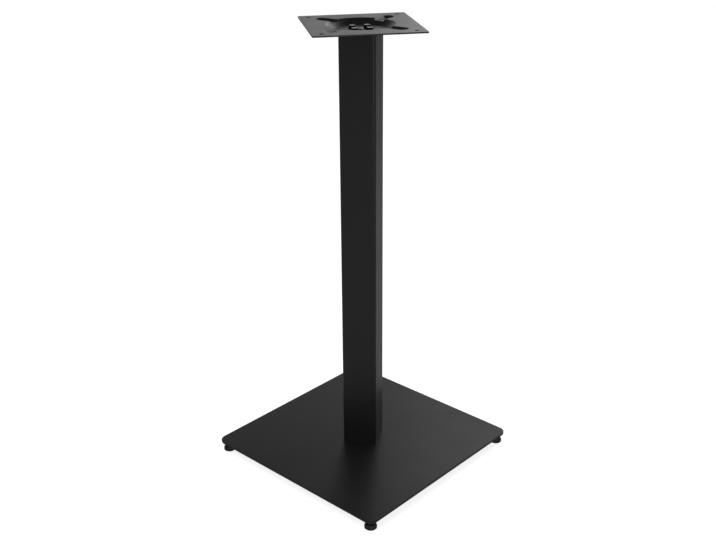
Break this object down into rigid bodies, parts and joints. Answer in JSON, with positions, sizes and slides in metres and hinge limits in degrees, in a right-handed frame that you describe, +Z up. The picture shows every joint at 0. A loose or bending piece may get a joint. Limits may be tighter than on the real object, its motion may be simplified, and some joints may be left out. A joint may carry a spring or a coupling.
{
  "type": "bar table base",
  "caption": "Column base for a bar table: square floor plate on levelling feet, square tube column and a pressed square top plate with a bolted centre.",
  "frame": {"origin": "on the floor, under the middle of the column and of the base plate", "axes": "+Z up along the column; +X and +Y along the sides of the base plate"},
  "size_m": [0.5, 0.5, 1.0234],
  "materials": {
    "powder_coat": "fine-textured satin black powder coat",
    "zinc_steel": "bright zinc plating",
    "plain_steel": "oiled mill steel, out of sight",
    "pad_nylon": "moulded black nylon"
  },
  "bodies": {
    "frame": {"base_plate": "powder_coat", "column_tube": "powder_coat", "top_plate": "powder_coat", "foot_boss_1": "powder_coat", "foot_boss_2": "powder_coat", "foot_boss_3": "powder_coat", "foot_boss_4": "powder_coat", "top_bolt_1": "zinc_steel", "top_bolt_2": "zinc_steel", "top_bolt_3": "zinc_steel", "top_bolt_4": "zinc_steel", "top_washer_1": "zinc_steel", "top_washer_2": "zinc_steel", "top_washer_3": "zinc_steel", "top_washer_4": "zinc_steel", "tie_rod": "zinc_steel", "rod_lock_nut": "zinc_steel", "rod_nut": "zinc_steel", "rod_washer": "zinc_steel", "rod_spring_washer": "zinc_steel", "head_plate": "plain_steel", "foot_locator": "plain_steel"},
    "foot_1": {"foot_pad_1": "pad_nylon"},
    "stud_1": {"foot_stud_1": "zinc_steel"},
    "foot_2": {"foot_pad_2": "pad_nylon"},
    "stud_2": {"foot_stud_2": "zinc_steel"},
    "foot_3": {"foot_pad_3": "pad_nylon"},
    "stud_3": {"foot_stud_3": "zinc_steel"},
    "foot_4": {"foot_pad_4": "pad_nylon"},
    "stud_4": {"foot_stud_4": "zinc_steel"}
  },
  "joints": [
    {"name": "foot_1_slide", "type": "slide", "parent": "frame", "child": "foot_1", "axis": [0, 0, -1], "range_m": [-0.0008, 0.008]},
    {"name": "stud_1_turn", "type": "hinge", "parent": "foot_1", "child": "stud_1", "pos_m": [0.231, 0.231, 0.0107], "axis": [0, 0, -1], "range_deg": [-231, 2305]},
    {"name": "foot_2_slide", "type": "slide", "parent": "frame", "child": "foot_2", "axis": [0, 0, -1], "range_m": [-0.0008, 0.008]},
    {"name": "stud_2_turn", "type": "hinge", "parent": "foot_2", "child": "stud_2", "pos_m": [-0.231, 0.231, 0.0107], "axis": [0, 0, -1], "range_deg": [-231, 2305]},
    {"name": "foot_3_slide", "type": "slide", "parent": "frame", "child": "foot_3", "axis": [0, 0, -1], "range_m": [-0.0008, 0.008]},
    {"name": "stud_3_turn", "type": "hinge", "parent": "foot_3", "child": "stud_3", "pos_m": [-0.231, -0.231, 0.0107], "axis": [0, 0, -1], "range_deg": [-231, 2305]},
    {"name": "foot_4_slide", "type": "slide", "parent": "frame", "child": "foot_4", "axis": [0, 0, -1], "range_m": [-0.0008, 0.008]},
    {"name": "stud_4_turn", "type": "hinge", "parent": "foot_4", "child": "stud_4", "pos_m": [0.231, -0.231, 0.0107], "axis": [0, 0, -1], "range_deg": [-231, 2305]}
  ],
  "couplings": [
    {"joint": "stud_1_turn", "follows": "foot_1_slide", "rad_per_m": 5026.5},
    {"joint": "stud_2_turn", "follows": "foot_2_slide", "rad_per_m": 5026.5},
    {"joint": "stud_3_turn", "follows": "foot_3_slide", "rad_per_m": 5026.5},
    {"joint": "stud_4_turn", "follows": "foot_4_slide", "rad_per_m": 5026.5}
  ]
}
